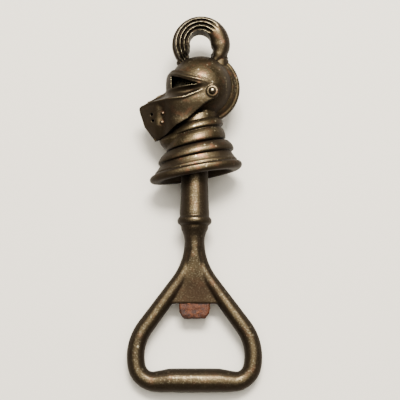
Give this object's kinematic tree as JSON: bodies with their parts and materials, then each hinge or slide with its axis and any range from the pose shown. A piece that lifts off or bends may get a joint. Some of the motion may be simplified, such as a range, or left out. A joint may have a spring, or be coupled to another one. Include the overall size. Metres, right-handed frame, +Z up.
{
  "type": "bottle opener",
  "caption": "Hand bottle opener: a closed loop with a cap tooth, a turned stem and a helmet handle with a lifting visor and a hanging eye.",
  "frame": {"origin": "on the table under the middle of the object, as it lies on the loop's bar and the collar's rim", "axes": "+Y along the length from the loop to the hanging eye, +X towards the back of the helmet, +Z up from the table"},
  "size_m": [0.0492, 0.1388, 0.0267],
  "materials": {
    "antique_brass": "dark antique patina, worn bright on the edges",
    "rusted_steel": "rusted, rough",
    "rivet_brass": "worn satin",
    "plain_brass": "machined"
  },
  "bodies": {
    "opener": {"opener_frame": "antique_brass", "crown_tooth": "rusted_steel", "collar": "antique_brass", "helmet_bowl": "antique_brass", "visor_rivet_left": "rivet_brass", "visor_rivet_right": "rivet_brass", "plume_eye": "antique_brass", "tang_washer": "plain_brass", "tang_nut": "plain_brass"},
    "visor": {"visor": "antique_brass"}
  },
  "joints": [
    {"name": "visor_lift", "type": "hinge", "parent": "opener", "child": "visor", "pos_m": [0.0065, 0.03891, 0.01411], "axis": [0, 0.0934, -0.9956], "range_deg": [0, 6]}
  ]
}
